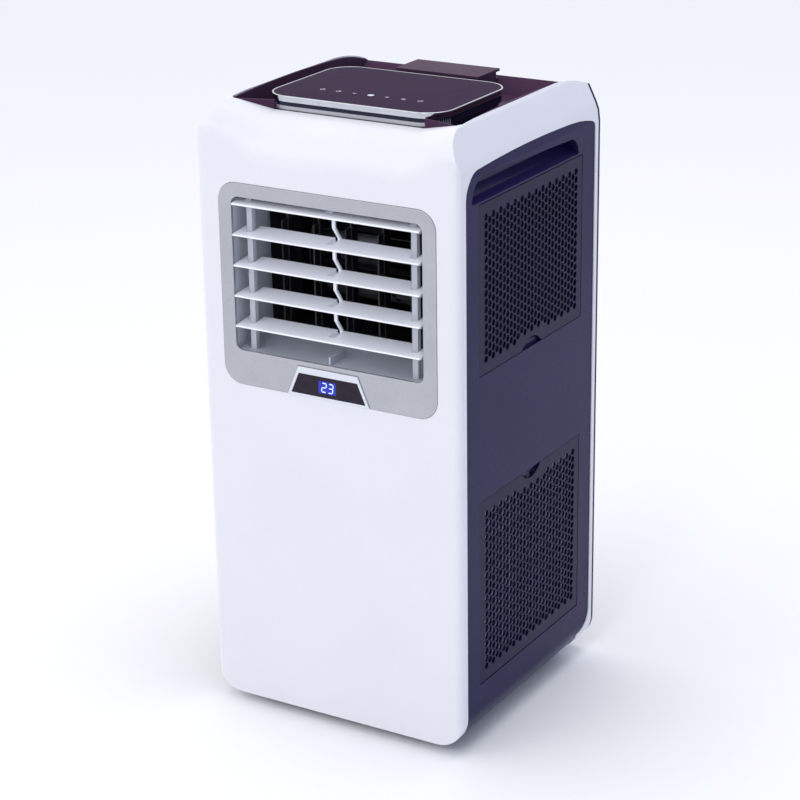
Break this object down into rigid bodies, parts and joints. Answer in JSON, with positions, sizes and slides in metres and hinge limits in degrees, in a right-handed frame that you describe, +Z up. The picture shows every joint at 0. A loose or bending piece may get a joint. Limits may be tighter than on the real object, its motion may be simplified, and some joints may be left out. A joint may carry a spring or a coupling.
{
  "type": "portable air conditioner",
  "caption": "Upright air conditioner on casters: louvred outlet, side filter covers, touch control panel, remote control box and rear exhaust collar.",
  "frame": {"origin": "on the floor, under the middle of the body", "axes": "+X to the right of the object seen from its front, +Y from the front to the rear, +Z up"},
  "size_m": [0.34, 0.3381, 0.736],
  "materials": {
    "white_plastic": "semi gloss moulded plastic, bright white",
    "dark_plastic": "fine textured plastic, deep indigo",
    "cover_plastic": "fine textured plastic, deep indigo",
    "silver_paint": "satin silver paint on plastic",
    "chrome_trim": "polished",
    "black_glass": "glossy smoked acrylic",
    "circuit_board": "solder resist",
    "duct_plastic": "plain moulded plastic",
    "blade_plastic": "satin white plastic",
    "grey_plastic": "plain dark plastic",
    "motor_steel": "plated steel can",
    "coil_metal": "thin bare fins",
    "compressor_steel": "black enamel",
    "rubber": "matte",
    "copper_pipe": "bare copper tube",
    "zinc_steel": "zinc plated sheet",
    "filter_net": "fine woven net in a frame",
    "caster_plastic": "plain",
    "caster_tread": "hard smooth tread"
  },
  "bodies": {
    "unit": {"base_pan": "zinc_steel", "front_housing": "white_plastic", "rear_housing": "dark_plastic", "side_panel_left": "dark_plastic", "side_panel_right": "dark_plastic", "top_cover": "dark_plastic", "control_plinth": "silver_paint", "control_rim": "chrome_trim", "control_glass": "black_glass", "control_board": "circuit_board", "remote_caddy": "dark_plastic", "outlet_bezel": "silver_paint", "outlet_duct": "duct_plastic", "display_frame": "silver_paint", "display_window": "black_glass", "louvre_motor": "motor_steel", "evaporator_coil": "coil_metal", "condenser_coil": "coil_metal", "water_tray": "duct_plastic", "compressor": "compressor_steel", "compressor_mounts": "rubber", "refrigerant_pipes": "copper_pipe", "evaporator_scroll": "duct_plastic", "evaporator_motor": "motor_steel", "condenser_scroll": "duct_plastic", "condenser_motor": "motor_steel", "electrical_box": "zinc_steel", "exhaust_collar": "grey_plastic", "cord_inlet": "grey_plastic", "housing_screws": "zinc_steel", "upper_filters": "filter_net", "lower_filters": "filter_net"},
    "louvre_1": {"louvre_1": "blade_plastic"},
    "louvre_2": {"louvre_2": "blade_plastic"},
    "louvre_3": {"louvre_3": "blade_plastic"},
    "louvre_4": {"louvre_4": "blade_plastic"},
    "louvre_5": {"louvre_5": "blade_plastic"},
    "louvre_link": {"louvre_link": "blade_plastic"},
    "vane_1": {"vane_1": "grey_plastic"},
    "vane_2": {"vane_2": "grey_plastic"},
    "vane_3": {"vane_3": "grey_plastic"},
    "vane_4": {"vane_4": "grey_plastic"},
    "vane_5": {"vane_5": "grey_plastic"},
    "vane_link": {"vane_link": "grey_plastic"},
    "caddy_lid": {"caddy_lid": "dark_plastic"},
    "evaporator_wheel": {"evaporator_wheel": "grey_plastic"},
    "condenser_wheel": {"condenser_wheel": "grey_plastic"},
    "upper_cover_right": {"upper_cover_right": "cover_plastic"},
    "upper_cover_left": {"upper_cover_left": "cover_plastic"},
    "lower_cover_right": {"lower_cover_right": "cover_plastic"},
    "lower_cover_left": {"lower_cover_left": "cover_plastic"},
    "caster_fork_1": {"caster_fork_1": "caster_plastic"},
    "caster_wheels_1": {"caster_wheels_1": "caster_tread"},
    "caster_fork_2": {"caster_fork_2": "caster_plastic"},
    "caster_wheels_2": {"caster_wheels_2": "caster_tread"},
    "caster_fork_3": {"caster_fork_3": "caster_plastic"},
    "caster_wheels_3": {"caster_wheels_3": "caster_tread"},
    "caster_fork_4": {"caster_fork_4": "caster_plastic"},
    "caster_wheels_4": {"caster_wheels_4": "caster_tread"},
    "drain_plug": {"drain_plug": "grey_plastic"}
  },
  "joints": [
    {"name": "louvre_1_tilt", "type": "hinge", "parent": "unit", "child": "louvre_1", "pos_m": [0, -0.151, 0.6182], "axis": [1, 0, 0], "range_deg": [-15, 60]},
    {"name": "louvre_2_tilt", "type": "hinge", "parent": "unit", "child": "louvre_2", "pos_m": [0, -0.151, 0.5825], "axis": [1, 0, 0], "range_deg": [-15, 60]},
    {"name": "louvre_3_tilt", "type": "hinge", "parent": "unit", "child": "louvre_3", "pos_m": [0, -0.151, 0.5468], "axis": [1, 0, 0], "range_deg": [-15, 60]},
    {"name": "louvre_4_tilt", "type": "hinge", "parent": "unit", "child": "louvre_4", "pos_m": [0, -0.151, 0.5111], "axis": [1, 0, 0], "range_deg": [-15, 60]},
    {"name": "louvre_5_tilt", "type": "hinge", "parent": "unit", "child": "louvre_5", "pos_m": [0, -0.151, 0.4754], "axis": [1, 0, 0], "range_deg": [-15, 60]},
    {"name": "louvre_link_pivot", "type": "hinge", "parent": "louvre_3", "child": "louvre_link", "pos_m": [0, -0.135, 0.5468], "axis": [1, 0, 0], "range_deg": [-60, 15]},
    {"name": "vane_1_swing", "type": "hinge", "parent": "unit", "child": "vane_1", "pos_m": [-0.084, -0.111, 0.53], "axis": [0, 0, 1], "range_deg": [-30, 30]},
    {"name": "vane_2_swing", "type": "hinge", "parent": "unit", "child": "vane_2", "pos_m": [-0.042, -0.111, 0.53], "axis": [0, 0, 1], "range_deg": [-30, 30]},
    {"name": "vane_3_swing", "type": "hinge", "parent": "unit", "child": "vane_3", "pos_m": [0, -0.111, 0.53], "axis": [0, 0, 1], "range_deg": [-30, 30]},
    {"name": "vane_4_swing", "type": "hinge", "parent": "unit", "child": "vane_4", "pos_m": [0.042, -0.111, 0.53], "axis": [0, 0, 1], "range_deg": [-30, 30]},
    {"name": "vane_5_swing", "type": "hinge", "parent": "unit", "child": "vane_5", "pos_m": [0.084, -0.111, 0.53], "axis": [0, 0, 1], "range_deg": [-30, 30]},
    {"name": "vane_link_pivot", "type": "hinge", "parent": "vane_3", "child": "vane_link", "pos_m": [0, -0.101, 0.468], "axis": [0, 0, 1], "range_deg": [-30, 30]},
    {"name": "caddy_lid_hinge", "type": "hinge", "parent": "unit", "child": "caddy_lid", "pos_m": [0, 0.13, 0.7276], "axis": [-1, 0, 0], "range_deg": [0, 100]},
    {"name": "evaporator_wheel_spin", "type": "hinge", "parent": "unit", "child": "evaporator_wheel", "pos_m": [0, 0.01, 0.54], "axis": [1, 0, 0], "continuous": true},
    {"name": "condenser_wheel_spin", "type": "hinge", "parent": "unit", "child": "condenser_wheel", "pos_m": [0, 0.008, 0.36], "axis": [0, 0, 1], "continuous": true},
    {"name": "upper_cover_right_hinge", "type": "hinge", "parent": "unit", "child": "upper_cover_right", "pos_m": [0.1672, 0, 0.644], "axis": [0, -1, 0], "range_deg": [0, 35]},
    {"name": "upper_cover_left_hinge", "type": "hinge", "parent": "unit", "child": "upper_cover_left", "pos_m": [-0.1672, 0, 0.644], "axis": [0, 1, 0], "range_deg": [0, 35]},
    {"name": "lower_cover_right_hinge", "type": "hinge", "parent": "unit", "child": "lower_cover_right", "pos_m": [0.1672, 0, 0.08], "axis": [0, 1, 0], "range_deg": [0, 35]},
    {"name": "lower_cover_left_hinge", "type": "hinge", "parent": "unit", "child": "lower_cover_left", "pos_m": [-0.1672, 0, 0.08], "axis": [0, -1, 0], "range_deg": [0, 35]},
    {"name": "caster_1_swivel", "type": "hinge", "parent": "unit", "child": "caster_fork_1", "pos_m": [-0.1, -0.11, 0.04], "axis": [0, 0, 1], "continuous": true},
    {"name": "caster_1_roll", "type": "hinge", "parent": "caster_fork_1", "child": "caster_wheels_1", "pos_m": [-0.1, -0.102, 0.015], "axis": [1, 0, 0], "continuous": true},
    {"name": "caster_2_swivel", "type": "hinge", "parent": "unit", "child": "caster_fork_2", "pos_m": [0.1, -0.11, 0.04], "axis": [0, 0, 1], "continuous": true},
    {"name": "caster_2_roll", "type": "hinge", "parent": "caster_fork_2", "child": "caster_wheels_2", "pos_m": [0.1, -0.102, 0.015], "axis": [1, 0, 0], "continuous": true},
    {"name": "caster_3_swivel", "type": "hinge", "parent": "unit", "child": "caster_fork_3", "pos_m": [-0.1, 0.11, 0.04], "axis": [0, 0, 1], "continuous": true},
    {"name": "caster_3_roll", "type": "hinge", "parent": "caster_fork_3", "child": "caster_wheels_3", "pos_m": [-0.1, 0.118, 0.015], "axis": [1, 0, 0], "continuous": true},
    {"name": "caster_4_swivel", "type": "hinge", "parent": "unit", "child": "caster_fork_4", "pos_m": [0.1, 0.11, 0.04], "axis": [0, 0, 1], "continuous": true},
    {"name": "caster_4_roll", "type": "hinge", "parent": "caster_fork_4", "child": "caster_wheels_4", "pos_m": [0.1, 0.118, 0.015], "axis": [1, 0, 0], "continuous": true},
    {"name": "drain_plug_pull", "type": "slide", "parent": "unit", "child": "drain_plug", "axis": [0, 1, 0], "range_m": [0, 0.02]}
  ],
  "couplings": [
    {"joint": "louvre_1_tilt", "follows": "louvre_3_tilt", "ratio": 1},
    {"joint": "louvre_2_tilt", "follows": "louvre_3_tilt", "ratio": 1},
    {"joint": "louvre_4_tilt", "follows": "louvre_3_tilt", "ratio": 1},
    {"joint": "louvre_5_tilt", "follows": "louvre_3_tilt", "ratio": 1},
    {"joint": "louvre_link_pivot", "follows": "louvre_3_tilt", "ratio": -1},
    {"joint": "vane_1_swing", "follows": "vane_3_swing", "ratio": 1},
    {"joint": "vane_2_swing", "follows": "vane_3_swing", "ratio": 1},
    {"joint": "vane_4_swing", "follows": "vane_3_swing", "ratio": 1},
    {"joint": "vane_5_swing", "follows": "vane_3_swing", "ratio": 1},
    {"joint": "vane_link_pivot", "follows": "vane_3_swing", "ratio": -1}
  ]
}
